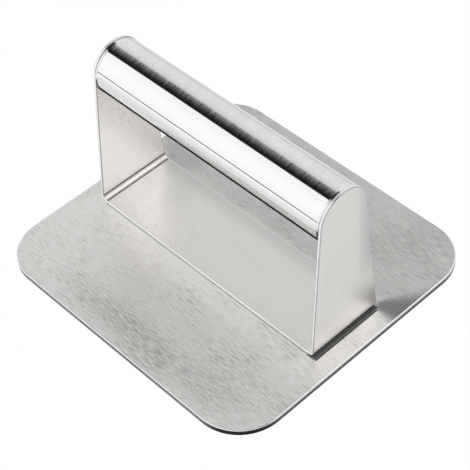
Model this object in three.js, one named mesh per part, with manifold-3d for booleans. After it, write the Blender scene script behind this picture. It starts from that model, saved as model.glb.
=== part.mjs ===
// Bacon press: a flat stainless pressing plate with a sheet-metal handle bracket
// spot-welded on top and a round tube seam-welded between the bracket's uprights.
//
// Frame: millimetres. The origin is the centre of the pressing face, +Z is up,
// +X runs along the handle and +Y runs across it.
import * as THREE from 'three';
import { mergeVertices } from 'three/addons/utils/BufferGeometryUtils.js';
import Module from 'manifold-3d';

// ---- Driving sizes ---------------------------------------------------------------

// Pressing plate
const plateLength = 150;        // along X, the way the handle runs
const plateWidth = 139;         // along Y
const plateThickness = 3;
const plateCornerRadius = 21;
const plateEdgeBreak = 0.3;     // chamfer round both faces

// Handle bracket, one strip of sheet bent up at both ends
const bracketLength = 129.5;    // outside face to outside face of the uprights
const sheetThickness = 1.5;
const strapWidth = 37;          // the strip's width where it lies on the plate
const bendInnerRadius = 1.5;

// Handle tube
const tubeDiameter = 25.4;
const tubeWall = 1.2;
const tubeAxisHeight = 70;      // above the pressing face

// How the rounded upright tops follow the tube
const capSideInset = 0.2;       // the top's radius is this much under the tube's
const capTopProud = 0.5;        // the top stands this much above the tube

// Seam welds where the tube meets the uprights
const seamWidth = 1;
const seamCrown = 0.15;         // height of the dressed bead above the tube

// Spot welds between the strap and the plate
const nuggetDiameter = 5;
const nuggetHeight = 1.2;       // half of it in the strap, half in the plate
const nuggetEdgeDistance = 9;   // from the strap's sides, and from the bends
const nuggetClearance = 0.3;    // round the nugget, in its pocket

// Facets of the round stretches
const cornerSegments = 16;      // a quarter turn of the plate's corner
const bendSegments = 8;         // a quarter turn of a bend
const capSegments = 48;         // the half turn of an upright's top
const tubeSegments = 96;        // the full turn of the tube and its welds
const nuggetSegments = 32;

// ---- Sizes that follow -----------------------------------------------------------

const strapTop = plateThickness + sheetThickness;
const bendOuterRadius = bendInnerRadius + sheetThickness;
const clearSpan = bracketLength - 2 * sheetThickness;    // between the uprights
const tubeRadius = tubeDiameter / 2;
const capRadius = tubeRadius - capSideInset;
const overallHeight = tubeAxisHeight + tubeRadius + capTopProud;
const capCentreHeight = overallHeight - capRadius;
const taperStartHeight = plateThickness + bendOuterRadius;
const tubeLength = clearSpan - 2 * seamWidth;
const flatLength = bracketLength - 2 * bendOuterRadius;  // of the strap, bend to bend

// ---- Finishes --------------------------------------------------------------------

function steel(name, color, roughness) {
  const material = new THREE.MeshStandardMaterial({ color, roughness, metalness: 1 });
  material.name = name;
  return material;
}

// ---- Solids ----------------------------------------------------------------------

const wasm = await Module();
wasm.setup();

function toSolid(geometry) {
  const bare = geometry.index ? geometry.toNonIndexed() : geometry.clone();
  bare.deleteAttribute('normal');
  bare.deleteAttribute('uv');
  const merged = mergeVertices(bare, 1e-5);
  return new wasm.Manifold(new wasm.Mesh({
    numProp: 3,
    vertProperties: new Float32Array(merged.attributes.position.array),
    triVerts: new Uint32Array(merged.index.array),
  }));
}

function toGeometry(solid) {
  const mesh = solid.getMesh();
  const geometry = new THREE.BufferGeometry();
  geometry.setAttribute('position', new THREE.BufferAttribute(mesh.vertProperties, 3));
  geometry.setIndex(new THREE.BufferAttribute(mesh.triVerts, 1));
  geometry.computeVertexNormals();
  return geometry;
}

function namedMesh(name, geometry, material) {
  const mesh = new THREE.Mesh(geometry, material);
  mesh.name = name;
  return mesh;
}

/** A disc standing on height `bottom`, at (x, y). */
function disc(x, y, bottom, height, diameter) {
  const geometry = new THREE.CylinderGeometry(diameter / 2, diameter / 2, height, nuggetSegments);
  geometry.rotateX(Math.PI / 2);
  geometry.translate(x, y, bottom + height / 2);
  return geometry;
}

/** Where the spot welds are: one near each corner of the strap's flat. */
function nuggetPlaces() {
  const x = flatLength / 2 - nuggetEdgeDistance;
  const y = strapWidth / 2 - nuggetEdgeDistance;
  return [
    { name: 'spot_weld_left_front', x: -x, y: -y },
    { name: 'spot_weld_left_rear', x: -x, y },
    { name: 'spot_weld_right_front', x, y: -y },
    { name: 'spot_weld_right_rear', x, y },
  ];
}

/** Cuts the four spot-weld pockets, centred on the face between strap and plate. */
function cutNuggetPockets(solid) {
  const diameter = nuggetDiameter + 2 * nuggetClearance;
  return nuggetPlaces().reduce(
    (rest, { x, y }) => rest.subtract(
      toSolid(disc(x, y, plateThickness - nuggetHeight / 2, nuggetHeight, diameter))),
    solid);
}

// ---- Pressing plate --------------------------------------------------------------

function plateOutline() {
  const x = plateLength / 2;
  const y = plateWidth / 2;
  const r = plateCornerRadius;
  const quarter = Math.PI / 2;
  const outline = new THREE.Shape();
  outline.moveTo(x, -y + r);
  outline.lineTo(x, y - r);
  outline.absarc(x - r, y - r, r, 0, quarter);
  outline.lineTo(-x + r, y);
  outline.absarc(-x + r, y - r, r, quarter, 2 * quarter);
  outline.lineTo(-x, -y + r);
  outline.absarc(-x + r, -y + r, r, 2 * quarter, 3 * quarter);
  outline.lineTo(x - r, -y);
  outline.absarc(x - r, -y + r, r, 3 * quarter, 4 * quarter);
  return outline;
}

function pressingPlate() {
  const geometry = new THREE.ExtrudeGeometry(plateOutline(), {
    depth: plateThickness - 2 * plateEdgeBreak,
    curveSegments: cornerSegments,
    bevelThickness: plateEdgeBreak,
    bevelSize: plateEdgeBreak,
    bevelOffset: -plateEdgeBreak,
    bevelSegments: 1,
  });
  geometry.translate(0, 0, plateEdgeBreak);
  return namedMesh('pressing_plate', toGeometry(cutNuggetPockets(toSolid(geometry))),
    steel('brushed_plate', 0xc4c5c6, 0.36));
}

// ---- Handle bracket --------------------------------------------------------------

/** The bent strip seen from the front, drawn in X and Z: a flat-bottomed U. */
function bentStripProfile() {
  const outer = bracketLength / 2;
  const inner = clearSpan / 2;
  const bend = outer - bendOuterRadius;   // X of both bends' centres
  const axis = taperStartHeight;          // Z of both bends' centres
  const quarter = Math.PI / 2;
  const profile = new THREE.Shape();
  profile.moveTo(-bend, plateThickness);
  profile.lineTo(bend, plateThickness);
  profile.absarc(bend, axis, bendOuterRadius, -quarter, 0);
  profile.lineTo(outer, overallHeight);
  profile.lineTo(inner, overallHeight);
  profile.lineTo(inner, axis);
  profile.absarc(bend, axis, bendInnerRadius, 0, -quarter, true);
  profile.lineTo(-bend, strapTop);
  profile.absarc(-bend, axis, bendInnerRadius, -quarter, -2 * quarter, true);
  profile.lineTo(-inner, overallHeight);
  profile.lineTo(-outer, overallHeight);
  profile.lineTo(-outer, axis);
  profile.absarc(-bend, axis, bendOuterRadius, 2 * quarter, 3 * quarter);
  return profile;
}

/** An upright seen from its end, drawn in Y and Z: sides that taper into a round top. */
function uprightOutline() {
  const halfWidth = strapWidth / 2;
  const rise = capCentreHeight - taperStartHeight;
  // The tapered side leaves the strap's edge and runs tangent to the round top.
  const tangentAngle = Math.acos(capRadius / Math.hypot(halfWidth, rise))
    - Math.atan2(rise, halfWidth);
  const outline = new THREE.Shape();
  outline.moveTo(-halfWidth, 0);
  outline.lineTo(halfWidth, 0);
  outline.lineTo(halfWidth, taperStartHeight);
  outline.absarc(0, capCentreHeight, capRadius, tangentAngle, Math.PI - tangentAngle);
  outline.lineTo(-halfWidth, taperStartHeight);
  return outline;
}

function handleBracket() {
  const strip = new THREE.ExtrudeGeometry(bentStripProfile(), {
    depth: 2 * strapWidth,
    curveSegments: bendSegments,
    bevelEnabled: false,
  });
  strip.rotateX(Math.PI / 2);
  strip.translate(0, strapWidth, 0);
  const outline = new THREE.ExtrudeGeometry(uprightOutline(), {
    depth: 2 * bracketLength,
    curveSegments: capSegments,
    bevelEnabled: false,
  });
  outline.rotateX(Math.PI / 2);
  outline.rotateZ(Math.PI / 2);
  outline.translate(-bracketLength, 0, 0);
  const bracket = toSolid(strip).intersect(toSolid(outline));
  return namedMesh('handle_bracket', toGeometry(cutNuggetPockets(bracket)),
    steel('brushed_bracket', 0xd2d2d1, 0.3));
}

// ---- Handle tube -----------------------------------------------------------------

/** A ring turned about X: `profile` is a closed list of [radius, x] points. */
function turnedAboutX(profile) {
  const points = [...profile, profile[0]].map(([radius, x]) => new THREE.Vector2(radius, x));
  const geometry = new THREE.LatheGeometry(points, tubeSegments);
  geometry.rotateZ(-Math.PI / 2);
  geometry.translate(0, 0, tubeAxisHeight);
  return toGeometry(toSolid(geometry));
}

function handleTube() {
  const bore = tubeRadius - tubeWall;
  const end = tubeLength / 2;
  const profile = [[bore, -end], [tubeRadius, -end], [tubeRadius, end], [bore, end]];
  return namedMesh('handle_tube', turnedAboutX(profile), steel('polished_tube', 0xdcdddd, 0.14));
}

/** The seam weld that fills between an end of the tube and its upright. */
function tubeSeamWeld(side) {
  const bore = tubeRadius - tubeWall;
  const start = side > 0 ? tubeLength / 2 : -clearSpan / 2;
  const end = start + seamWidth;
  const profile = [
    [bore, start],
    [tubeRadius, start],
    [tubeRadius + seamCrown, start + seamWidth / 3],
    [tubeRadius + seamCrown, end - seamWidth / 3],
    [tubeRadius, end],
    [bore, end],
  ];
  return namedMesh(side > 0 ? 'tube_seam_weld_right' : 'tube_seam_weld_left',
    turnedAboutX(profile), steel('dressed_weld', 0xbfbfbd, 0.3));
}

// ---- Spot welds ------------------------------------------------------------------

function spotWelds() {
  return nuggetPlaces().map(({ name, x, y }) => namedMesh(name,
    disc(x, y, plateThickness - nuggetHeight / 2, nuggetHeight, nuggetDiameter),
    steel('weld_nugget', 0x8f8f8e, 0.5)));
}

// ---- Assembly --------------------------------------------------------------------

const baconPress = new THREE.Group();
baconPress.name = 'bacon_press';
baconPress.add(
  pressingPlate(),
  handleBracket(),
  handleTube(),
  tubeSeamWeld(-1),
  tubeSeamWeld(1),
  ...spotWelds(),
);

export default baconPress;
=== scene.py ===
"""The finished look of a stainless bacon press.

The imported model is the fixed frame. Each sheet, tube and weld that shows is built here again
with rounded edges and fine round stretches, in the place of its plain solid, and dressed in
brushed, drawn or turned steel. Sizes are metres. X runs along the handle, Y across it and Z up.
"""

import logging
import math
from dataclasses import dataclass, field, replace
from enum import Enum
from functools import cached_property
from typing import Callable, Sequence

import bmesh
import bpy
from bmesh.types import BMVert
from bpy.types import Material, Node, NodeSocket, NodeTree, Object
from mathutils import Matrix, Vector


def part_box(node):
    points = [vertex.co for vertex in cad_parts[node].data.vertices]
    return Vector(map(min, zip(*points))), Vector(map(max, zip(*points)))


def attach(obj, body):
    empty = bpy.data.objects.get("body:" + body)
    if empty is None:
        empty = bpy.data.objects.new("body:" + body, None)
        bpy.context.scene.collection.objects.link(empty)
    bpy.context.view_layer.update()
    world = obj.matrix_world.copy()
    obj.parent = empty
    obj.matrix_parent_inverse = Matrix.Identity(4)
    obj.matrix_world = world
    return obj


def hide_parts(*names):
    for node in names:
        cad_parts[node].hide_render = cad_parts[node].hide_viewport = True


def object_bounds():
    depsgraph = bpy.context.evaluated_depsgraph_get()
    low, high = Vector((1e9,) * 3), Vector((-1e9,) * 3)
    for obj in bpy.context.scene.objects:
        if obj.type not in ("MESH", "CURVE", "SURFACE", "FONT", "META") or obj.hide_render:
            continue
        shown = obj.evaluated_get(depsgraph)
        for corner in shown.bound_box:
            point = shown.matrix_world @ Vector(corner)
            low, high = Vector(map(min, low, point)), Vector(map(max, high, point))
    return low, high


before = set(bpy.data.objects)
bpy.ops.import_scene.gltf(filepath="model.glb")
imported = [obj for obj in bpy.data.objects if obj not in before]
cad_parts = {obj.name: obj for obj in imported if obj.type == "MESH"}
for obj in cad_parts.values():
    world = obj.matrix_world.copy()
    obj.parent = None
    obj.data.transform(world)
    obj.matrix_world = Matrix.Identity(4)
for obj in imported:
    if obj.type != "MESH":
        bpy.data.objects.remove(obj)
CAD_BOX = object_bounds()

log = logging.getLogger("bacon_press")

MM = 0.001
BODY = "root"

Pair = tuple[float, float]
Point = tuple[float, float, float]
Color = tuple[float, float, float, float]


# ---- Shader nodes ----


class Nodes:
    """A node tree with short ways to add and join its nodes."""

    def __init__(self, tree: NodeTree) -> None:
        """Wraps the node tree of a material, a world or a group."""
        self.tree = tree

    def add(self, kind: str, **settings: object) -> Node:
        """Adds a node.

        Args:
            kind: The node's type name without "ShaderNode".
            settings: Properties to set on the node.

        Returns:
            The new node.
        """
        node = self.tree.nodes.new("ShaderNode" + kind)
        for name, value in settings.items():
            setattr(node, name, value)
        return node

    def feed(self, socket: NodeSocket, value: object) -> None:
        """Links a socket to another socket, or sets its value.

        Args:
            socket: The input socket.
            value: An output socket, or a plain value.
        """
        if isinstance(value, NodeSocket):
            self.tree.links.new(value, socket)
        else:
            socket.default_value = value

    def fill(self, node: Node, values: Sequence[object]) -> None:
        """Feeds a node's inputs in order, each with a socket or a plain value."""
        for socket, value in zip(node.inputs, values):
            self.feed(socket, value)

    def wire(self, node: Node, **inputs: object) -> None:
        """Feeds a node's inputs by name, with _ for a space, as fill() does in order."""
        for name, value in inputs.items():
            self.feed(node.inputs[name.replace("_", " ")], value)

    def math(self, operation: str, *values: object, clamp: bool = False) -> NodeSocket:
        """Adds a Math node.

        Args:
            operation: The node's operation, such as "MULTIPLY".
            values: Its inputs in order, each a socket or a number.
            clamp: Whether the result stays between 0 and 1.

        Returns:
            The result's socket.
        """
        node = self.add("Math", operation=operation, use_clamp=clamp)
        self.fill(node, values)
        return node.outputs[0]

    def remap(self, value: object, low: object, high: object, to_low: float = 0.0,
              to_high: float = 1.0, smooth: bool = False) -> NodeSocket:
        """Maps a value from one range to another, clamped at both ends.

        Args:
            value: The socket to map.
            low: The value that gives to_low.
            high: The value that gives to_high.
            to_low: The result at low.
            to_high: The result at high.
            smooth: Whether the change eases in and out.

        Returns:
            The result's socket.
        """
        node = self.add("MapRange", interpolation_type="SMOOTHSTEP" if smooth else "LINEAR")
        self.fill(node, (value, low, high, to_low, to_high))
        return node.outputs[0]

    def times(self, vector: object, factor: object) -> NodeSocket:
        """Multiplies a vector or colour.

        Args:
            vector: Its socket.
            factor: A scale for each axis, or one number or socket for them all.

        Returns:
            The product's socket.
        """
        each = isinstance(factor, tuple)
        node = self.add("VectorMath", operation="MULTIPLY" if each else "SCALE")
        self.feed(node.inputs[0], vector)
        self.feed(node.inputs[1 if each else "Scale"], factor)
        return node.outputs[0]

    def split(self, vector: object) -> Node:
        """Splits a vector.

        Args:
            vector: The vector's socket.

        Returns:
            The node, whose outputs are X, Y and Z.
        """
        node = self.add("SeparateXYZ")
        self.feed(node.inputs[0], vector)
        return node

    def by_camera(self, output: str, lit: Node, seen: Node) -> None:
        """Ends the tree with one shader for the camera and another for the object.

        Args:
            output: The type name of the tree's output node, as for add().
            lit: The shader that lights the object.
            seen: The shader that the camera sees.
        """
        mix = self.add("MixShader")
        by = self.add("LightPath").outputs["Is Camera Ray"]
        self.fill(mix, (by, lit.outputs[0], seen.outputs[0]))
        self.feed(self.add(output).inputs["Surface"], mix.outputs[0])

    def noise(self, vector: object, scale: object = 1.0, detail: float = 2.0,
              roughness: float = 0.5) -> NodeSocket:
        """Adds a noise texture.

        Args:
            vector: Where it is read.
            scale: Its scale.
            detail: How many finer layers it has.
            roughness: How strong those layers are.

        Returns:
            The noise's value, about 0.3 to 0.7 round a mean of 0.5.
        """
        node = self.add("TexNoise")
        self.wire(node, Vector=vector, Scale=scale, Detail=detail, Roughness=roughness)
        return node.outputs[0]

    def group(self, group: NodeTree, **inputs: object) -> Node:
        """Places a shader node group.

        Args:
            group: The group.
            inputs: Its inputs, as for wire().

        Returns:
            The group's node.
        """
        node = self.add("Group", node_tree=group)
        self.wire(node, **inputs)
        return node


class Socket(Enum):
    """The kinds of socket on a shader node group."""

    VALUE = "NodeSocketFloat"
    VECTOR = "NodeSocketVector"
    COLOR = "NodeSocketColor"


def new_group(name: str, inputs: dict[Socket, Sequence[str]],
              outputs: dict[Socket, Sequence[str]]) -> tuple[Nodes, Node, Node]:
    """Makes an empty shader node group with named sockets.

    Args:
        name: The group's name.
        inputs: The names of its inputs of each kind.
        outputs: The names of its outputs of each kind.

    Returns:
        The group's nodes, its input node and its output node.
    """
    tree = bpy.data.node_groups.new(name, "ShaderNodeTree")
    for way, kinds in (("INPUT", inputs), ("OUTPUT", outputs)):
        for kind, titles in kinds.items():
            for title in titles:
                tree.interface.new_socket(title, in_out=way, socket_type=kind.value)
    nodes = Nodes(tree)
    return nodes, tree.nodes.new("NodeGroupInput"), tree.nodes.new("NodeGroupOutput")


# The spread of each noise, which its mask stretches to run from 0 to 1
LINE_SPREAD = (0.3, 0.7)
STREAK_SPREAD = (0.32, 0.68)
CLOUD_SPREAD = (0.35, 0.65)

LINE_SHARE = 0.7  # of the grain's height; the streaks make up the rest
LEAST_ROUGHNESS = 0.03


def drawn_grain() -> NodeTree:
    """The straight lines that an abrasive belt leaves.

    Returns:
        A group that reads a vector stretched along the grain, and puts out fine lines, broader
        streaks and a height.
    """
    nodes, given, result = new_group(
        "drawn grain",
        {Socket.VECTOR: ["Vector"], Socket.VALUE: ["Streak Width"]},
        {Socket.VALUE: ["Lines", "Streaks", "Height"]})
    vector = given.outputs["Vector"]
    fine = nodes.noise(vector, detail=3.0, roughness=0.65)
    lines = nodes.remap(fine, *LINE_SPREAD)
    wide = nodes.math("DIVIDE", 1.0, given.outputs["Streak Width"])
    broad = nodes.noise(vector, wide, detail=3.0, roughness=0.6)
    streaks = nodes.remap(broad, *STREAK_SPREAD, smooth=True)
    height = nodes.math("ADD", nodes.math("MULTIPLY", lines, LINE_SHARE),
                        nodes.math("MULTIPLY", streaks, 1 - LINE_SHARE))
    nodes.wire(result, Lines=lines, Streaks=streaks, Height=height)
    return nodes.tree


def cloudy_wear() -> NodeTree:
    """The soft, uneven haze that handling and wiping leave.

    Returns:
        A group that puts out a cloudy mask from 0 to 1.
    """
    nodes, given, result = new_group(
        "cloudy wear",
        {Socket.VECTOR: ["Vector"], Socket.VALUE: ["Scale"]},
        {Socket.VALUE: ["Mask"]})
    cloud = nodes.noise(given.outputs["Vector"], given.outputs["Scale"], detail=4.0,
                        roughness=0.55)
    nodes.feed(result.inputs["Mask"], nodes.remap(cloud, *CLOUD_SPREAD, smooth=True))
    return nodes.tree


def shaded_tone() -> NodeTree:
    """A colour that is lighter and darker where its masks are.

    Returns:
        A group that puts out the colour times a gain. The gain is 1, plus each amount times its
        mask about 0.5, and the patch amount lowers it between the lines where it is cloudy.
    """
    nodes, given, result = new_group(
        "shaded tone",
        {Socket.COLOR: ["Color"],
         Socket.VALUE: ["Lines", "Lines Amount", "Streaks", "Streaks Amount",
                        "Cloud", "Cloud Amount", "Patch Amount"]},
        {Socket.COLOR: ["Color"]})
    hollows = nodes.math("SUBTRACT", 1.0, given.outputs["Lines"])
    patch = nodes.math("MULTIPLY", hollows, given.outputs["Cloud"])
    gain: object = nodes.math("SUBTRACT", 1.0, nodes.math(
        "MULTIPLY", nodes.math("MULTIPLY", patch, patch), given.outputs["Patch Amount"]))
    for mask in ("Lines", "Streaks", "Cloud"):
        about_half = nodes.math("SUBTRACT", given.outputs[mask], 0.5)
        gain = nodes.math("MULTIPLY_ADD", about_half, given.outputs[mask + " Amount"], gain)
    nodes.feed(result.inputs["Color"], nodes.times(given.outputs["Color"], gain))
    return nodes.tree


def worked_roughness() -> NodeTree:
    """A roughness that the grain and the haze vary.

    Returns:
        A group that puts out the roughness.
    """
    nodes, given, result = new_group(
        "worked roughness",
        {Socket.VALUE: ["Roughness", "Lines", "Lines Amount", "Cloud", "Cloud Amount"]},
        {Socket.VALUE: ["Roughness"]})
    total: object = given.outputs["Roughness"]
    for mask in ("Lines", "Cloud"):
        about_half = nodes.math("SUBTRACT", given.outputs[mask], 0.5)
        total = nodes.math("MULTIPLY_ADD", about_half, given.outputs[mask + " Amount"], total)
    nodes.feed(result.inputs["Roughness"], nodes.math("MAXIMUM", total, LEAST_ROUGHNESS))
    return nodes.tree


def soft_span() -> NodeTree:
    """A span with soft ends.

    Returns:
        A group that puts out 1 inside the span and 0 outside it.
    """
    nodes, given, result = new_group(
        "soft span",
        {Socket.VALUE: ["Value", "Low", "High", "Soft"]},
        {Socket.VALUE: ["Mask"]})
    value, soft = given.outputs["Value"], given.outputs["Soft"]
    steps = []
    for edge in ("Low", "High"):
        at = given.outputs[edge]
        steps.append(nodes.remap(value, nodes.math("SUBTRACT", at, soft),
                                 nodes.math("ADD", at, soft), smooth=True))
    nodes.feed(result.inputs["Mask"], nodes.math("SUBTRACT", *steps, clamp=True))
    return nodes.tree


@dataclass
class SteelGroups:
    """The shader node groups that every finish shares."""

    grain: NodeTree = field(default_factory=drawn_grain)
    wear: NodeTree = field(default_factory=cloudy_wear)
    tone: NodeTree = field(default_factory=shaded_tone)
    roughness: NodeTree = field(default_factory=worked_roughness)
    span: NodeTree = field(default_factory=soft_span)


# ---- Finishes ----


GREEN_LOSS = 0.45  # a warm grey's loss of green, as a share of its loss of blue


def grey(tone: float, warmth: float = 0.0) -> Color:
    """Mixes a steel colour as light as tone, with the share warmth of its blue lost."""
    return (tone, tone * (1 - GREEN_LOSS * warmth), tone * (1 - warmth), 1.0)


class Lay(Enum):
    """The way the fine lines of a finish run."""

    ALONG_HANDLE = "along the handle"
    ALONG_STRIP = "along the bent strip"
    AROUND_TUBE = "round the tube"
    THROUGH_SHEET = "through the sheet"


class Gauge(Enum):
    """What a span measures."""

    X = "place along the handle"
    Y = "place across the handle"
    Z = "height"
    REACH = "level distance from a point"
    FAN = "slope of the line from a point, for places right of it"
    TURN = "degrees round the handle, from overhead towards the front"


LEAST_RUN = 0.1 * MM  # keeps a fan's slope finite above and left of its point


@dataclass(frozen=True)
class Span:
    """A range of places with soft ends."""

    gauge: Gauge
    low: float
    high: float
    soft: float  # how far each end fades either way
    about: Pair = (0.0, 0.0)  # the point that some gauges measure about

    def measure(self, nodes: Nodes, axes: Node) -> NodeSocket:
        """Measures the place on the surface.

        Args:
            nodes: The material's nodes.
            axes: The node that splits the object's coordinates.

        Returns:
            The measured value's socket.
        """
        if self.gauge in (Gauge.X, Gauge.Y, Gauge.Z):
            return axes.outputs[self.gauge.name]
        if self.gauge is Gauge.TURN:
            front = nodes.math("SUBTRACT", self.about[0], axes.outputs["Y"])
            over = nodes.math("SUBTRACT", axes.outputs["Z"], self.about[1])
            return nodes.math("DEGREES", nodes.math("ARCTAN2", front, over))
        along = nodes.math("SUBTRACT", axes.outputs["X"], self.about[0])
        across = nodes.math("SUBTRACT", axes.outputs["Y"], self.about[1])
        if self.gauge is Gauge.FAN:
            return nodes.math("DIVIDE", across, nodes.math("MAXIMUM", along, LEAST_RUN))
        squares = [nodes.math("MULTIPLY", part, part) for part in (along, across)]
        return nodes.math("SQRT", nodes.math("ADD", *squares))


@dataclass(frozen=True)
class Mark:
    """A place on a finish that is lighter or darker than the rest."""

    tint: float  # what the colour is multiplied by
    spans: tuple[Span, ...]  # it lies where all of them meet
    lined: bool = False  # whether it shows only between the lines of the finish


@dataclass(frozen=True)
class SteelFinish:
    """One stainless finish: its colour, its lines and how it takes the light."""

    name: str
    color: Color
    roughness: float
    lay: Lay
    anisotropic: float = 0.0
    line_pitch: float = 0.35 * MM  # across the lines
    line_length: float = 14 * MM  # along the lines
    streak_width: float = 6.0  # in lines
    line_tone: float = 0.1
    streak_tone: float = 0.1
    cloud_tone: float = 0.06
    patch_tone: float = 0.0
    line_roughness: float = 0.1
    cloud_roughness: float = 0.06
    cloud_size: float = 30 * MM
    bump: float = 0.2
    bump_height: float = 0.01 * MM
    bend_top: float = 0.0  # above this the strip runs up
    cloud_stretch: Point = (1.0, 1.0, 1.0)
    gloss: float = 0.5  # the mirror light of a finish that isn't metallic
    metallic: float = 1.0
    marks: tuple[Mark, ...] = ()

    def marked(self, nodes: Nodes, groups: SteelGroups, place: NodeSocket,
               lines: NodeSocket, color: NodeSocket) -> NodeSocket:
        """Lightens and darkens a colour where the finish has marks.

        Args:
            nodes: The material's nodes.
            groups: The shared shader node groups.
            place: The object's coordinates.
            lines: The finish's fine lines.
            color: The colour before the marks.

        Returns:
            The marked colour's socket.
        """
        axes = nodes.split(place)
        hollows = nodes.math("SUBTRACT", 1.0, lines)
        gain: object = 1.0
        for mark in self.marks:
            change: object = mark.tint - 1
            for span in mark.spans:
                inside = nodes.group(groups.span, Value=span.measure(nodes, axes),
                                     Low=span.low, High=span.high, Soft=span.soft)
                change = nodes.math("MULTIPLY", change, inside.outputs["Mask"])
            if mark.lined:
                change = nodes.math("MULTIPLY", change, hollows)
            gain = nodes.math("MULTIPLY", gain, nodes.math("ADD", change, 1.0))
        return nodes.times(color, gain)

    def stretched(self, nodes: Nodes, place: NodeSocket) -> NodeSocket:
        """Stretches the surface's coordinates along the lines.

        Args:
            nodes: The material's nodes.
            place: The object's coordinates.

        Returns:
            The stretched vector's socket.
        """
        along, across = 1 / self.line_length, 1 / self.line_pitch
        if self.lay is Lay.ALONG_HANDLE:
            return nodes.times(place, (along, across, across))
        if self.lay is Lay.AROUND_TUBE:
            return nodes.times(place, (across, along, along))
        if self.lay is Lay.THROUGH_SHEET:
            return nodes.times(place, (across, across, along))
        upright = nodes.math("GREATER_THAN", nodes.split(place).outputs["Z"], self.bend_top)
        mix = nodes.add("Mix", data_type="VECTOR")
        nodes.feed(mix.inputs["Factor"], upright)
        flat, rising = [s for s in mix.inputs if s.type == "VECTOR"][-2:]
        nodes.feed(flat, nodes.times(place, (along, across, across)))
        nodes.feed(rising, nodes.times(place, (across, across, along)))
        return next(s for s in mix.outputs if s.type == "VECTOR")

    def tangent(self) -> Point:
        """The direction across the lines, in which they spread a highlight."""
        return (1.0, 0.0, 0.0) if self.lay is Lay.AROUND_TUBE else (0.0, 1.0, 0.0)

    def build(self, groups: SteelGroups) -> Material:
        """Makes the material.

        Args:
            groups: The shared shader node groups.

        Returns:
            The material.
        """
        material = bpy.data.materials.new(self.name)
        material.use_nodes = True
        nodes = Nodes(material.node_tree)
        shader = material.node_tree.nodes["Principled BSDF"]
        place = nodes.add("TexCoord").outputs["Object"]
        grain = nodes.group(groups.grain, Vector=self.stretched(nodes, place),
                            Streak_Width=self.streak_width)
        wear = nodes.group(groups.wear, Vector=nodes.times(place, self.cloud_stretch),
                           Scale=1 / self.cloud_size)
        tone = nodes.group(
            groups.tone, Color=self.color,
            Lines=grain.outputs["Lines"], Lines_Amount=self.line_tone,
            Streaks=grain.outputs["Streaks"], Streaks_Amount=self.streak_tone,
            Cloud=wear.outputs["Mask"], Cloud_Amount=self.cloud_tone,
            Patch_Amount=self.patch_tone)
        rough = nodes.group(
            groups.roughness, Roughness=self.roughness,
            Lines=grain.outputs["Lines"], Lines_Amount=self.line_roughness,
            Cloud=wear.outputs["Mask"], Cloud_Amount=self.cloud_roughness)
        color = tone.outputs["Color"]
        if self.marks:
            color = self.marked(nodes, groups, place, grain.outputs["Lines"], color)
        relief = nodes.add("Bump")
        nodes.wire(relief, Strength=self.bump, Distance=self.bump_height,
                   Height=grain.outputs["Height"])
        nodes.wire(shader, Base_Color=color, Roughness=rough.outputs["Roughness"],
                   Metallic=self.metallic, Specular_IOR_Level=self.gloss,
                   Normal=relief.outputs[0])
        if self.anisotropic:
            across = nodes.add("CombineXYZ")
            nodes.fill(across, self.tangent())
            nodes.wire(shader, Anisotropic=self.anisotropic, Tangent=across.outputs[0])
        return material


# ---- Mesh making ----


FLAT_WEIGHT = 100  # how far the larger faces win when normals are averaged


class Skin:
    """A mesh built from loops of points, ready to become a piece."""

    def __init__(self, name: str) -> None:
        """Starts an empty mesh for the named piece."""
        self.name = name
        self.mesh = bmesh.new()

    def loop(self, points: Sequence[Point]) -> list[BMVert]:
        """Adds a loop of points, and returns their vertices in order."""
        return [self.mesh.verts.new(p) for p in points]

    def face(self, corners: Sequence[BMVert], finish: int = 0) -> None:
        """Adds a face, leaving out corners that repeat.

        Args:
            corners: The corners in order.
            finish: Which of the piece's finishes it takes.
        """
        kept = [c for i, c in enumerate(corners) if c is not corners[i - 1]]
        if len(kept) > 2:
            self.mesh.faces.new(kept).material_index = finish

    def bridge(self, first: Sequence[BMVert], second: Sequence[BMVert], finish: int = 0) -> None:
        """Joins two closed loops of equal length with a band of faces in one finish."""
        for i, corner in enumerate(first):
            self.face((first[i - 1], corner, second[i], second[i - 1]), finish)

    def to_object(self, finishes: Sequence[Material]) -> Object:
        """Puts the mesh into the scene.

        Args:
            finishes: Its materials, in the order of the faces' finish numbers.

        Returns:
            The object.
        """
        data = bpy.data.meshes.new(self.name)
        self.mesh.to_mesh(data)
        self.mesh.free()
        for material in finishes:
            data.materials.append(material)
        made = bpy.data.objects.new(self.name, data)
        bpy.context.scene.collection.objects.link(made)
        return made

    def piece(self, node: str, slot: str, finishes: Sequence[Material]) -> Object:
        """Turns the closed mesh into a finished piece that stands for a solid of the frame.

        Args:
            node: The solid's name.
            slot: The name of the solid's material slot; not used.
            finishes: Its materials, as for to_object().

        Returns:
            The piece.
        """
        bmesh.ops.recalc_face_normals(self.mesh, faces=self.mesh.faces)
        piece = self.to_object(finishes)
        piece.data.shade_smooth()
        normals = piece.modifiers.new("flat faces stay flat", "WEIGHTED_NORMAL")
        normals.mode = "FACE_AREA"
        normals.weight = FLAT_WEIGHT
        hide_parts(node)
        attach(piece, BODY)
        log.info("%s: %d faces, in place of %s", self.name, len(piece.data.polygons), node)
        return piece


def arc(centre: Pair, radius: float, start: float, end: float, steps: int) -> list[Pair]:
    """Points along a circular arc.

    Args:
        centre: The circle's centre.
        radius: The circle's radius.
        start: The first point's angle, in radians.
        end: The last point's angle.
        steps: How many steps lie between them.

    Returns:
        The points, both ends included.
    """
    angles = (start + (end - start) * i / steps for i in range(steps + 1))
    return [(centre[0] + radius * math.cos(a), centre[1] + radius * math.sin(a)) for a in angles]


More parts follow.
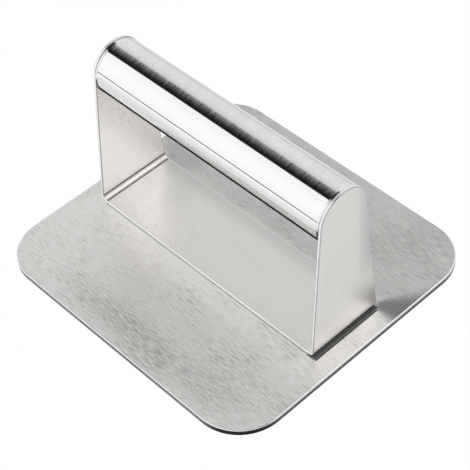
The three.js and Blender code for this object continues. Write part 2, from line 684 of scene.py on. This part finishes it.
def rounding(radius: float, steps: int) -> list[Pair]:
    """How far a rounded edge lies inside a sharp one, from face to side.

    Args:
        radius: The rounding's radius.
        steps: How many steps it takes.

    Returns:
        Pairs of inset from the side and depth from the face.
    """
    return [(radius * (1 - math.sin(a)), radius * (1 - math.cos(a)))
            for a in (math.pi / 2 * i / steps for i in range(steps + 1))]


class FramePart:
    """A part that takes its place from one solid of the frame."""

    node: str

    @cached_property
    def low(self) -> Vector:
        """The solid's lowest corner."""
        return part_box(self.node)[0]

    @cached_property
    def high(self) -> Vector:
        """The solid's highest corner."""
        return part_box(self.node)[1]


# ---- The pressing plate ----


class PlateFinish(Enum):
    """Which finish a face of the plate takes."""

    BRUSHED = 0
    BRIGHT_EDGE = 1
    CUT_RIM = 2


@dataclass
class PressingPlate(FramePart):
    """The flat plate, with rounded corners and a bright broken edge round its top."""

    node: str = "pressing_plate"
    corner_radius: float = 21 * MM
    top_edge: float = 0.38 * MM
    bottom_edge: float = 0.3 * MM
    corner_steps: int = 28
    edge_steps: int = 4

    def outline(self, inset: float) -> list[Pair]:
        """The plate's outline, moved inwards.

        Args:
            inset: How far.

        Returns:
            Its points, anticlockwise.
        """
        low, high = self.low, self.high
        radius = self.corner_radius
        quarter = math.pi / 2
        corners = ((high.x, high.y), (low.x, high.y), (low.x, low.y), (high.x, low.y))
        points: list[Pair] = []
        for i, (x, y) in enumerate(corners):
            centre = (x - math.copysign(radius, x), y - math.copysign(radius, y))
            points += arc(centre, radius - inset, i * quarter, (i + 1) * quarter,
                          self.corner_steps)
        return points

    def build(self, finishes: dict[PlateFinish, Material]) -> Object:
        """Builds and dresses the plate.

        Args:
            finishes: The material of each finish.

        Returns:
            The piece.
        """
        low, high = self.low, self.high
        skin = Skin("brushed_plate")
        under, over = (rounding(edge, self.edge_steps)
                       for edge in (self.bottom_edge, self.top_edge))
        levels = [(inset, low.z + depth) for inset, depth in under]
        levels += [(inset, high.z - depth) for inset, depth in over[::-1]]
        loops = [skin.loop([(x, y, z) for x, y in self.outline(inset)]) for inset, z in levels]
        skin.face(loops[0][::-1], PlateFinish.BRUSHED.value)
        for i in range(len(loops) - 1):
            on_rim = i < len(under)
            finish = PlateFinish.CUT_RIM if on_rim else PlateFinish.BRIGHT_EDGE
            skin.bridge(loops[i], loops[i + 1], finish.value)
        skin.face(loops[-1], PlateFinish.BRUSHED.value)
        return skin.piece(self.node, "plate_steel", [finishes[f] for f in PlateFinish])


# ---- The handle bracket ----


class BracketFinish(Enum):
    """Which finish a face of the bracket takes."""

    SATIN = 0
    POLISHED_EDGE = 1
    EDGE_BREAK = 2


class Stretch(Enum):
    """The parts of the strip, from its middle outwards, and what tells a place on each."""

    STRAP = "the X along the strap"
    BEND = "the angle round the bend"
    UPRIGHT = "the height"


Station = tuple[Stretch, float, float]  # where along the strip, and half its width there
POINT_WIDTH = 1e-7  # narrower than this, both edges meet in one point


@dataclass
class HandleBracket(FramePart):
    """One strip of sheet bent up at both ends into tapered uprights with round tops."""

    node: str = "handle_bracket"
    sheet: float = 1.5 * MM
    bend_inside: float = 1.5 * MM
    cap_radius: float = 12.5 * MM
    edge_radius: float = 0.35 * MM
    edge_steps: int = 3
    strap_steps: int = 8
    bend_steps: int = 12
    side_steps: int = 6
    cap_steps: int = 36

    def half_strip(self, inset: float) -> list[Station]:
        """Half of the strip, from the middle of the strap to the top of an upright.

        Args:
            inset: How far its outline is moved inwards.

        Returns:
            Its stations in order.
        """
        low, high = self.low, self.high
        half = high.y - inset
        radius = self.cap_radius - inset
        cap_centre = high.z - self.cap_radius
        bend_top = low.z + self.bend_inside + self.sheet
        bend_x = high.x - self.bend_inside - self.sheet
        rise = cap_centre - bend_top
        tangent = math.acos(radius / math.hypot(half, rise)) - math.atan2(rise, half)
        side_y, side_z = radius * math.cos(tangent), cap_centre + radius * math.sin(tangent)
        stations = [(Stretch.STRAP, bend_x * i / self.strap_steps, half)
                    for i in range(self.strap_steps)]
        stations += [(Stretch.BEND, math.pi / 2 * i / self.bend_steps, half)
                     for i in range(self.bend_steps)]
        for i in range(self.side_steps):
            t = i / self.side_steps
            stations.append((Stretch.UPRIGHT, bend_top + (side_z - bend_top) * t,
                             half + (side_y - half) * t))
        for y, z in arc((0.0, cap_centre), radius, tangent, math.pi / 2, self.cap_steps):
            stations.append((Stretch.UPRIGHT, z, max(y, 0.0)))
        return stations

    def fold(self, stretch: Stretch, place: float, depth: float) -> Pair:
        """Where a point of the strip lies once the strip is bent.

        Args:
            stretch: The part of the strip that it is on.
            place: Where on that part it is.
            depth: How far it lies inside the outer face.

        Returns:
            Its X and Z, on the side of positive X.
        """
        low, high = self.low, self.high
        outside = self.bend_inside + self.sheet
        bend = (high.x - outside, low.z + outside)
        if stretch is Stretch.STRAP:
            return place, low.z + depth
        if stretch is Stretch.BEND:
            reach = outside - depth
            return bend[0] + reach * math.sin(place), bend[1] - reach * math.cos(place)
        return high.x - depth, place

    def rows(self, skin: Skin, inset: float, depth: float) -> list[tuple[BMVert, BMVert]]:
        """Adds the pairs of points on the strip's two long edges, from the left top to the right.

        Args:
            skin: The mesh that is being built.
            inset: How far the pairs lie inside the strip's outline.
            depth: How far they lie inside its outer face.

        Returns:
            Each pair, front edge first. A top's pair is the same vertex twice.
        """
        half = self.half_strip(inset)
        pairs = []
        for side, stations in ((-1, half[:0:-1]), (1, half)):
            for stretch, place, width in stations:
                x, z = self.fold(stretch, place, depth)
                front = skin.mesh.verts.new((side * x, -width, z))
                pointed = width < POINT_WIDTH
                rear = front if pointed else skin.mesh.verts.new((side * x, width, z))
                pairs.append((front, rear))
        return pairs

    def build(self, finishes: dict[BracketFinish, Material]) -> Object:
        """Builds and dresses the bracket.

        Args:
            finishes: The material of each finish.

        Returns:
            The piece.
        """
        skin = Skin("bent_bracket")
        edge = rounding(self.edge_radius, self.edge_steps)
        levels = edge + [(inset, self.sheet - depth) for inset, depth in edge[::-1]]
        stack = [self.rows(skin, inset, depth) for inset, depth in levels]
        for pairs in (stack[0], stack[-1]):
            for (front, rear), (next_front, next_rear) in zip(pairs, pairs[1:]):
                skin.face((front, rear, next_rear, next_front), BracketFinish.SATIN.value)
        rims = [[front for front, _ in pairs] + [rear for _, rear in pairs[-2:0:-1]]
                for pairs in stack]
        for i, (lower, upper) in enumerate(zip(rims, rims[1:])):
            flat = i == len(edge) - 1
            finish = BracketFinish.POLISHED_EDGE if flat else BracketFinish.EDGE_BREAK
            skin.bridge(lower, upper, finish.value)
        return skin.piece(self.node, "bracket_steel", [finishes[f] for f in BracketFinish])


# ---- The tube and its welds ----


def turned(skin: Skin, profile: Sequence[Pair], axis_height: float, steps: int,
           ripple: Callable[[float], float] = lambda _: 0.0) -> None:
    """Turns a closed profile about the handle's axis.

    Args:
        skin: The mesh that is being built.
        profile: Pairs of X and radius, in order.
        axis_height: The Z of the handle's axis.
        steps: How many steps the full turn takes.
        ripple: What is added to an outer radius at each angle.
    """
    mean = sum(r for _, r in profile) / len(profile)
    loops = []
    for x, radius in profile:
        points = []
        for i in range(steps):
            a = 2 * math.pi * i / steps
            r = radius + (ripple(a) if radius > mean else 0.0)
            points.append((x, -r * math.sin(a), axis_height + r * math.cos(a)))
        loops.append(skin.loop(points))
    for i, loop in enumerate(loops):
        skin.bridge(loops[i - 1], loop)


class TubeFinish(Enum):
    """Which finish a face of the tube takes."""

    POLISHED = 0
    PAINTED_UNDERSIDE_SHADE = 1


@dataclass
class HandleTube(FramePart):
    """The round tube that the hand closes on, with a dull band of painted shade along its
    underside.
    """

    node: str = "handle_tube"
    wall: float = 1.2 * MM
    end_bevel: float = 0.18 * MM
    turn_steps: int = 180
    length_steps: int = 10
    shade_from_to: Pair = (103.5, 136.5)  # where the painted shade lies, in degrees from the top, over the front

    def build(self, finishes: dict[TubeFinish, Material]) -> Object:
        """Builds and dresses the tube.

        Args:
            finishes: The material of each finish.

        Returns:
            The piece.
        """
        low, high = self.low, self.high
        radius = (high.z - low.z) / 2
        bore = radius - self.wall
        start, end = low.x + self.end_bevel, high.x - self.end_bevel
        profile = [(low.x, bore), (low.x, radius - self.end_bevel)]
        profile += [(start + (end - start) * i / self.length_steps, radius)
                    for i in range(self.length_steps + 1)]
        profile += [(high.x, radius - self.end_bevel), (high.x, bore)]
        skin = Skin("grip_tube")
        axis = (low.z + high.z) / 2
        turned(skin, profile, axis, self.turn_steps)
        # Faces in that span take the dull band of painted shade.
        for face in skin.mesh.faces:
            middle = face.calc_center_median()
            turn = math.degrees(math.atan2(-middle.y, middle.z - axis))
            if self.shade_from_to[0] < turn < self.shade_from_to[1]:
                face.material_index = TubeFinish.PAINTED_UNDERSIDE_SHADE.value
        return skin.piece(self.node, "tube_steel", [finishes[f] for f in TubeFinish])


@dataclass
class TubeSeamWeld(FramePart):
    """The dressed weld that joins one end of the tube to its upright."""

    node: str
    name: str
    wall: float = 1.2 * MM
    crown: float = 0.15 * MM
    undercut: float = 0.12 * MM
    ripple: float = 0.012 * MM
    ripples: int = 34  # round the weld
    wander: int = 3  # times round that they crowd and spread
    turn_steps: int = 240
    crown_steps: int = 8

    def build(self, finish: Material) -> Object:
        """Builds and dresses the weld.

        Args:
            finish: Its material.

        Returns:
            The piece.
        """
        low, high = self.low, self.high
        radius = (high.z - low.z) / 2
        top, tube_radius = radius - self.ripple, radius - self.crown
        foot = tube_radius - self.undercut
        middle, half = (low.x + high.x) / 2, (high.x - low.x) / 2
        bore = tube_radius - self.wall
        profile = [(low.x, bore)]
        for i in range(self.crown_steps + 1):
            a = math.pi * i / self.crown_steps
            profile.append((middle - half * math.cos(a), foot + (top - foot) * math.sin(a)))
        profile.append((high.x, bore))
        skin = Skin(self.name)
        turned(skin, profile, (low.z + high.z) / 2, self.turn_steps,
               ripple=lambda a: self.ripple * math.sin(self.ripples * a
                                                       + math.sin(self.wander * a)))
        return skin.piece(self.node, "seam_weld_steel", [finish])


@dataclass
class SpotWelds:
    """The nuggets between the strap and the plate, kept as the frame has them."""

    prefix: str = "spot_weld_"

    def dress(self, finish: Material) -> None:
        """Gives each nugget its finish.

        Args:
            finish: Their material.
        """
        for name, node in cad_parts.items():
            if name.startswith(self.prefix):
                for slot in node.material_slots:
                    slot.material = finish
                log.info("%s: dressed as %s", name, finish.name)


# ---- The studio ----


WHITE = (1.0, 1.0, 1.0, 1.0)
LIP_BLACK = grey(0.01)
LIP_ROUGHNESS = 0.9


@dataclass
class Studio:
    """The camera, the pale floor and the soft light."""

    azimuth: float = 49.50
    elevation: float = 46.90
    roll: float = -4.787
    distance: float = 0.63103
    target: Point = (0.00732, -0.00486, 0.0222)
    lens: float = 117.27
    sensor: float = 36.0
    clip: Pair = (0.01, 20.0)
    floor_size: float = 6.0
    floor_gap: float = 0.02 * MM
    floor_front: float = 0.28
    floor_glow: Pair = (1.35, 0.92)  # at its front edge, and at the press
    floor_press: float = 0.07  # how far the press reaches
    floor_rear: Pair = (0.10, 0.25)  # where it darkens behind the press
    floor_rear_loss: float = 0.14
    lip_width: float = 0.09
    right_loss: float = 0.25  # how much dimmer the right side is
    right_from_to: Pair = (-0.3, 0.25)
    key_gain: float = 1.6  # the soft key light, high behind right
    key_right: Pair = (0.0, 0.35)
    key_rear: Pair = (0.05, 0.3)
    key_height: Pair = (0.38, 0.6)
    # Stops in the light round the handle's axis: degrees from overhead towards the front, and
    # how bright it is there
    bands: tuple[Pair, ...] = (
        (-180, 0.8), (-100, 0.9), (-60, 0.97), (-38, 0.9), (-27, 0.76), (-20, 0.47), (-12, 0.27),
        (-3, 0.1), (6, 0.025), (15.3, 0.004), (16.0, 1.13), (28, 1.1), (46, 1.18), (75, 1.18),
        (92, 1.14), (180, 1.0))

    def camera(self) -> None:
        """Sets the camera at the viewing angle."""
        a, e, r = (math.radians(v) for v in (self.azimuth, self.elevation, self.roll))
        back = Vector((math.sin(a) * math.cos(e), -math.cos(a) * math.cos(e), math.sin(e)))
        right = Vector((0, 0, 1)).cross(back).normalized()
        up = back.cross(right)
        turned_right = right * math.cos(r) + up * math.sin(r)
        turned_up = up * math.cos(r) - right * math.sin(r)
        data = bpy.data.cameras.new("camera")
        data.sensor_width = self.sensor
        data.lens = self.lens
        data.clip_start, data.clip_end = self.clip
        camera = bpy.data.objects.new("camera", data)
        axes = Matrix((turned_right, turned_up, back)).transposed().to_4x4()
        camera.matrix_world = Matrix.Translation(Vector(self.target) + back * self.distance) @ axes
        bpy.context.scene.collection.objects.link(camera)
        bpy.context.scene.camera = camera

    def light(self) -> None:
        """Wraps soft light round the handle's axis: pale behind, dark overhead, white in front.

        The right side is dimmer, but for a soft key light high behind it.
        """
        world = bpy.data.worlds.new("soft studio")
        bpy.context.scene.world = world
        world.use_nodes = True
        world.node_tree.nodes.clear()
        nodes = Nodes(world.node_tree)
        split = nodes.split(nodes.add("TexCoord").outputs["Generated"])
        front = nodes.math("MULTIPLY", split.outputs["Y"], -1.0)
        angle = nodes.math("ARCTAN2", front, split.outputs["Z"])
        ramp = nodes.add("ValToRGB")
        nodes.feed(ramp.inputs[0], nodes.remap(angle, -math.pi, math.pi))
        brightest = max(light for _, light in self.bands)
        stops = ramp.color_ramp.elements
        while len(stops) < len(self.bands):
            stops.new(1.0)
        for stop, (degrees, light) in zip(stops, self.bands):
            stop.position = (degrees + 180) / 360
            stop.color = grey(light / brightest)
        studio = nodes.add("Background")
        gain = nodes.remap(split.outputs["X"], *self.right_from_to, 1.0, 1.0 - self.right_loss,
                           smooth=True)
        key: object = self.key_gain
        for axis, reach in (("X", self.key_right), ("Y", self.key_rear), ("Z", self.key_height)):
            key = nodes.math("MULTIPLY", key,
                             nodes.remap(split.outputs[axis], *reach, smooth=True))
        sided = nodes.math("MULTIPLY", gain, nodes.math("ADD", key, 1.0))
        nodes.wire(studio, Color=nodes.times(ramp.outputs["Color"], sided), Strength=brightest)
        seen = nodes.add("Background")
        nodes.feed(seen.inputs["Color"], WHITE)
        nodes.by_camera("OutputWorld", studio, seen)

    def card(self, name: str, front: float, rear: float, material: Material) -> Object:
        """Lays a flat card level with the floor, the floor's full width across.

        Args:
            name: The card's name.
            front: The Y of its front edge.
            rear: The Y of its rear edge.
            material: Its material.

        Returns:
            The card.
        """
        half = self.floor_size / 2
        skin = Skin(name)
        corners = ((-half, front), (half, front), (half, rear), (-half, rear))
        skin.face(skin.loop([(x, y, 0.0) for x, y in corners]))
        card = skin.to_object([material])
        card.location.z = CAD_BOX[0].z - self.floor_gap
        return card

    def floor(self) -> None:
        """Lays a pale floor under the press. What it reflects dims towards the rear."""
        material = bpy.data.materials.new("pale floor")
        material.use_nodes = True
        material.node_tree.nodes.clear()
        nodes = Nodes(material.node_tree)
        depth = nodes.split(nodes.add("TexCoord").outputs["Object"]).outputs["Y"]
        near = nodes.remap(depth, -self.floor_front, -self.floor_press, *self.floor_glow)
        loss = nodes.remap(depth, *self.floor_rear, 0.0, self.floor_rear_loss)
        reflected = nodes.add("Emission")
        nodes.feed(reflected.inputs["Strength"], nodes.math("SUBTRACT", near, loss))
        nodes.by_camera("OutputMaterial", reflected, nodes.add("Emission"))
        self.card("floor", -self.floor_front, self.floor_size / 2, material)

    def floor_lip(self) -> None:
        """Closes the floor's front edge with a dark strip, which shows only in reflections."""
        material = bpy.data.materials.new("dark lip")
        material.use_nodes = True
        shader = material.node_tree.nodes["Principled BSDF"]
        Nodes(material.node_tree).wire(shader, Base_Color=LIP_BLACK, Roughness=LIP_ROUGHNESS)
        lip = self.card("floor_lip", -self.floor_front - self.lip_width, -self.floor_front,
                        material)
        lip.visible_camera = False

    def build(self) -> None:
        """Sets up the whole studio."""
        self.camera()
        self.light()
        self.floor()
        self.floor_lip()
        settings = bpy.context.scene.view_settings
        settings.view_transform = "Standard"
        settings.look = "None"


# ---- The finishes of the press ----


HANDLE_AXIS = (0.0, 70 * MM)  # its Y and Z


def mm(gauge: Gauge, low: float, high: float, soft: float, about: Pair = (0.0, 0.0)) -> Span:
    """Makes a span from sizes in millimetres."""
    return Span(gauge, low * MM, high * MM, soft * MM, (about[0] * MM, about[1] * MM))


def turn(low: float, high: float, soft: float) -> Span:
    """Makes a span round the handle, in degrees from overhead towards the front."""
    return Span(Gauge.TURN, low, high, soft, HANDLE_AXIS)


UPRIGHT_SHADOW_START = (61 * MM, 18 * MM)  # the right upright's rear foot, where its painted shadow starts

ALONG_STRAP = mm(Gauge.X, -62, 62, 1)
AT_FOOT = mm(Gauge.Y, -18.9, 18.6, 0.5)
ON_STRAP = mm(Gauge.Z, 0, 5, 0.5)
RIGHT_UPRIGHT = mm(Gauge.X, 62, 70, 1)
RIGHT_RIM = mm(Gauge.X, 60, 80, 5)

PLATE_MARKS = (
    Mark(0.69, (mm(Gauge.Y, 19, 80, 3),)),  # painted shade over the rear half
    Mark(0.62, (mm(Gauge.Y, -66, -52, 6), mm(Gauge.X, -36, 60, 12)), lined=True),  # darker between the lines along the front
    Mark(0.05, (mm(Gauge.X, 61.5, 64.1, 0.3), AT_FOOT)),  # painted shade in the crevice under the right foot
    # painted shade beside the foot, this mark and the next
    Mark(0.14, (mm(Gauge.X, 64.1, 65.6, 0.3), AT_FOOT)),
    Mark(0.08, (mm(Gauge.X, 65.6, 66.6, 0.3), mm(Gauge.Y, -18.9, 17.6, 0.8))),
    Mark(1.04, (mm(Gauge.X, 66.8, 74.8, 0.3), mm(Gauge.Y, -22, 14, 2.5))),  # painted reflection of the right upright in the plate
    Mark(0.4, (Span(Gauge.FAN, -0.1, 9.0, 0.3, UPRIGHT_SHADOW_START),  # painted shadow of the right upright
               Span(Gauge.FAN, -9.0, 1.4, 0.8, UPRIGHT_SHADOW_START), mm(Gauge.X, 64, 80, 1.5))),
    Mark(0.5, (mm(Gauge.Y, -18.8, -18.4, 0.1), ALONG_STRAP)),  # painted contact shadow along the strap's front
    # painted reflection of the strap's bright front edge
    Mark(1.1, (mm(Gauge.Y, -19.9, -19.2, 0.2), ALONG_STRAP)),
    Mark(0.7, (mm(Gauge.Y, 18.5, 19.6, 0.3), ALONG_STRAP)),  # painted contact shadow behind the strap's rear
    Mark(0.85, (mm(Gauge.REACH, -1, 9, 6, (-58, 24)),)))  # painted shade behind the left upright

PLATE_FACE = SteelFinish(
    "brushed plate steel", grey(0.99, 0.045), 0.36, Lay.ALONG_HANDLE, anisotropic=0.5,
    metallic=0.58, line_pitch=0.5 * MM, line_length=5 * MM, streak_width=4.0,
    line_tone=0.34, streak_tone=0.05, cloud_tone=0.02, patch_tone=0.36, line_roughness=0.12,
    cloud_size=22 * MM, cloud_stretch=(0.6, 1.3, 1.0), marks=PLATE_MARKS)
BRIGHT_EDGE = SteelFinish(
    "bright broken edge", grey(0.95), 0.2, Lay.ALONG_HANDLE, line_tone=0.04,
    streak_tone=0.03, cloud_tone=0.02, line_roughness=0.05, cloud_roughness=0.02)
# The cut rim's dark grey is partly its own tone and partly painted shade from the floor close by.
CUT_RIM = SteelFinish(
    "cut rim", grey(0.17), 0.34, Lay.ALONG_HANDLE, line_pitch=0.2 * MM, line_length=6 * MM,
    line_tone=0.3, streak_tone=0.2, marks=(
        Mark(0.03, (mm(Gauge.REACH, -1, 15, 6, (71, -65)),)),  # painted shade at the near corner
        Mark(0.1, (mm(Gauge.REACH, -1, 14, 6, (-75, -54)),)),  # painted shade at the left corner
        # painted shade over the right rim
        Mark(0.55, (RIGHT_RIM,)),
        Mark(0.05, (mm(Gauge.Z, -0.5, 1.4, 0.2), RIGHT_RIM)),  # painted shade on its lower part
        Mark(4.0, (mm(Gauge.Z, 1.6, 2.1, 0.2), RIGHT_RIM))))  # painted highlight along its middle
SATIN_SHEET = SteelFinish(
    "satin bracket steel", grey(0.82, 0.045), 0.3, Lay.ALONG_STRIP, anisotropic=0.4,
    metallic=0.85, line_pitch=0.4 * MM, line_length=6 * MM, line_tone=0.04, streak_tone=0.02,
    cloud_tone=0.04, line_roughness=0.04, bend_top=6 * MM, marks=(
        Mark(0.85, (mm(Gauge.Y, 13, 30, 4), ON_STRAP)),  # painted shade on the strap's rear
        # painted shade over the right upright
        Mark(0.88, (RIGHT_UPRIGHT,)),
        # painted shade on the right upright's rear, high up
        Mark(0.72, (RIGHT_UPRIGHT, mm(Gauge.Y, 10, 30, 5), mm(Gauge.Z, 30, 90, 12))),
        Mark(1.2, (mm(Gauge.X, 61, 70, 1), mm(Gauge.Z, 0, 14, 6))),  # painted light on the right foot
        Mark(1.2, (mm(Gauge.X, -70, -62, 1),)),  # painted light over the left upright
        Mark(0.94, (mm(Gauge.X, -62, -36, 7), ON_STRAP)),  # painted shade on the strap's left
        Mark(0.15, (mm(Gauge.X, -61.5, -60.9, 0.2),)),  # the left bend's two painted shade lines
        Mark(0.1, (mm(Gauge.Z, 6.1, 7.0, 0.2), mm(Gauge.X, -70, -60, 1)))))
SHEET_EDGE = replace(BRIGHT_EDGE, name="polished sheet edge", color=grey(0.97), roughness=0.22,
                     metallic=0.35)
SHEET_EDGE_BREAK = replace(
    BRIGHT_EDGE, name="broken sheet edge", roughness=0.24, line_tone=0.1, streak_tone=0.08,
    cloud_tone=0.05, marks=(Mark(0.45, (mm(Gauge.Z, 6, 90, 1),)),))  # painted shade on the uprights' edges
TUBE = SteelFinish(
    "polished tube steel", grey(0.82, 0.01), 0.055, Lay.AROUND_TUBE,
    line_pitch=0.4 * MM, line_length=4 * MM, streak_width=3.0, line_tone=0.02,
    streak_tone=0.01, cloud_tone=0.02, line_roughness=0.03, cloud_roughness=0.01,
    bump=0.08, marks=(
        Mark(0.08, (turn(6, 22, 3),), lined=True),  # painted dark reflection streaks at the top of the front
        Mark(0.85, (turn(69.5, 104, 1.5),), lined=True),  # low on the front
        Mark(0.82, (turn(-70, 3, 3),), lined=True)))  # rear
# A dull black band of painted shade along the tube's underside.
PAINTED_UNDERSIDE_SHADE = SteelFinish(
    "painted underside shade", grey(0.02), 0.7, Lay.AROUND_TUBE, line_pitch=0.4 * MM,
    line_length=5 * MM, line_tone=0.3, streak_tone=0.2, metallic=0.0, gloss=0.0)
SEAM_WELD = SteelFinish(
    "dressed seam weld", grey(0.85), 0.24, Lay.AROUND_TUBE, line_pitch=0.15 * MM,
    line_length=5 * MM, marks=(
        Mark(0.1, (turn(84, 140, 6),)),  # painted shade on its under side
        Mark(0.08, (turn(2, 22, 3),))))  # painted dark reflection on its top
SPOT_WELD = SteelFinish(
    "fused spot weld", grey(0.4), 0.5, Lay.THROUGH_SHEET, line_pitch=0.4 * MM,
    line_length=0.8 * MM, line_tone=0.3, streak_tone=0.2, bump=0.5)


# ---- The press ----


@dataclass
class BaconPress:
    """The whole press: what it is made of, and its finishes."""

    plate: PressingPlate = field(default_factory=PressingPlate)
    bracket: HandleBracket = field(default_factory=HandleBracket)
    tube: HandleTube = field(default_factory=HandleTube)
    seams: tuple[TubeSeamWeld, ...] = (
        TubeSeamWeld("tube_seam_weld_left", "seam_bead_left"),
        TubeSeamWeld("tube_seam_weld_right", "seam_bead_right"))
    spots: SpotWelds = field(default_factory=SpotWelds)

    def build(self, groups: SteelGroups) -> None:
        """Builds and dresses every piece.

        Args:
            groups: The shared shader node groups.
        """
        self.plate.build({
            PlateFinish.BRUSHED: PLATE_FACE.build(groups),
            PlateFinish.BRIGHT_EDGE: BRIGHT_EDGE.build(groups),
            PlateFinish.CUT_RIM: CUT_RIM.build(groups)})
        self.bracket.build({
            BracketFinish.SATIN: SATIN_SHEET.build(groups),
            BracketFinish.POLISHED_EDGE: SHEET_EDGE.build(groups),
            BracketFinish.EDGE_BREAK: SHEET_EDGE_BREAK.build(groups)})
        self.tube.build({
            TubeFinish.POLISHED: TUBE.build(groups),
            TubeFinish.PAINTED_UNDERSIDE_SHADE: PAINTED_UNDERSIDE_SHADE.build(groups)})
        weld = SEAM_WELD.build(groups)
        for seam in self.seams:
            seam.build(weld)
        self.spots.dress(SPOT_WELD.build(groups))


def main() -> None:
    """Builds the studio and the press, and reports each piece."""
    logging.basicConfig(level=logging.INFO, format="%(name)s: %(message)s")
    Studio().build()
    BaconPress().build(SteelGroups())


if __name__ == "__main__":
    main()
